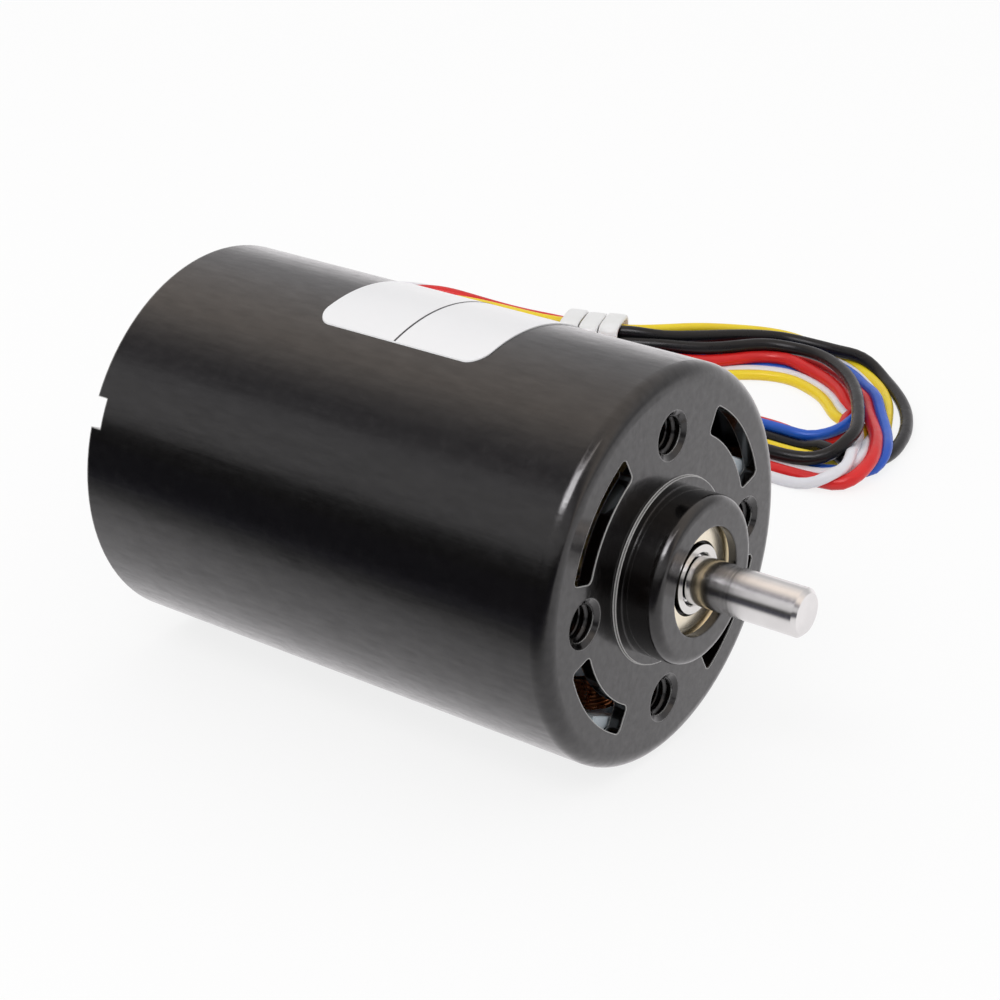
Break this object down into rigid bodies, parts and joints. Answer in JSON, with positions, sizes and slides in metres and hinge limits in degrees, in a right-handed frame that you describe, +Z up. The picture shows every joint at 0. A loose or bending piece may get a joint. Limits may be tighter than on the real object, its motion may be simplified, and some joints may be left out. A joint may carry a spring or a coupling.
{
  "type": "brushless dc motor",
  "caption": "Round brushless dc motor with a pilot boss, vented front face, plain shaft and a tied coil of free leads.",
  "frame": {"origin": "middle of the front mounting face, on the shaft axis", "axes": "+X out along the shaft, +Z up with the motor lying on its can, +Y towards the coil of leads"},
  "size_m": [0.1243, 0.1272, 0.0421],
  "materials": {
    "can_paint": "satin gloss black",
    "label_film": "smooth white film",
    "cover_metal": "die cast",
    "grommet_rubber": "moulded",
    "lamination": "stacked sheet edges",
    "insulator_plastic": "moulded",
    "copper": "enamelled wire",
    "shaft_steel": "ground",
    "core_steel": "turned",
    "magnet": "ground",
    "balance_brass": "turned",
    "bearing_steel": "ground",
    "shield_steel": "pressed",
    "cage_plastic": "moulded",
    "spring_steel": "rolled",
    "board_resin": "solder mask",
    "chip_resin": "moulded",
    "capacitor_can": "drawn",
    "yellow_insulation": "extruded",
    "black_insulation": "extruded",
    "red_insulation": "extruded",
    "white_insulation": "extruded",
    "blue_insulation": "extruded",
    "tie_plastic": "smooth"
  },
  "bodies": {
    "housing": {"motor_can": "can_paint", "label": "label_film", "rear_cover": "cover_metal", "lead_grommet": "grommet_rubber", "stator_core": "lamination", "front_insulator": "insulator_plastic", "rear_insulator": "insulator_plastic", "winding_1": "copper", "winding_2": "copper", "winding_3": "copper", "winding_4": "copper", "winding_5": "copper", "winding_6": "copper", "winding_7": "copper", "winding_8": "copper", "winding_9": "copper", "front_bearing_outer_ring": "bearing_steel", "front_bearing_shields": "shield_steel", "rear_bearing_outer_ring": "bearing_steel", "rear_bearing_shields": "shield_steel", "wave_washer": "spring_steel", "driver_board": "board_resin", "board_screws": "spring_steel", "position_sensors": "chip_resin", "power_transistors": "chip_resin", "control_chip": "chip_resin", "capacitors": "capacitor_can", "lead_yellow": "yellow_insulation", "lead_black": "black_insulation", "lead_red": "red_insulation", "lead_white": "white_insulation", "lead_blue": "blue_insulation", "lead_coil": "black_insulation", "lead_tie": "tie_plastic"},
    "rotor": {"shaft": "shaft_steel", "rotor_core": "core_steel", "rotor_magnet_1": "magnet", "rotor_magnet_2": "magnet", "rotor_magnet_3": "magnet", "rotor_magnet_4": "magnet", "rotor_magnet_5": "magnet", "rotor_magnet_6": "magnet", "front_balance_ring": "balance_brass", "rear_balance_ring": "balance_brass", "front_spacer": "core_steel", "rear_spacer": "core_steel", "front_bearing_inner_ring": "bearing_steel", "rear_bearing_inner_ring": "bearing_steel"},
    "front_ball_set": {"front_bearing_balls": "bearing_steel", "front_bearing_cage": "cage_plastic"},
    "rear_ball_set": {"rear_bearing_balls": "bearing_steel", "rear_bearing_cage": "cage_plastic"}
  },
  "joints": [
    {"name": "rotor_spin", "type": "hinge", "parent": "housing", "child": "rotor", "pos_m": [0, 0, 0], "axis": [1, 0, 0], "continuous": true},
    {"name": "front_ball_roll", "type": "hinge", "parent": "housing", "child": "front_ball_set", "pos_m": [0.00096, 0, 0], "axis": [1, 0, 0], "continuous": true},
    {"name": "rear_ball_roll", "type": "hinge", "parent": "housing", "child": "rear_ball_set", "pos_m": [-0.054, 0, 0], "axis": [1, 0, 0], "continuous": true}
  ],
  "couplings": [
    {"joint": "front_ball_roll", "follows": "rotor_spin", "ratio": 0.3747},
    {"joint": "rear_ball_roll", "follows": "rotor_spin", "ratio": 0.3747}
  ]
}
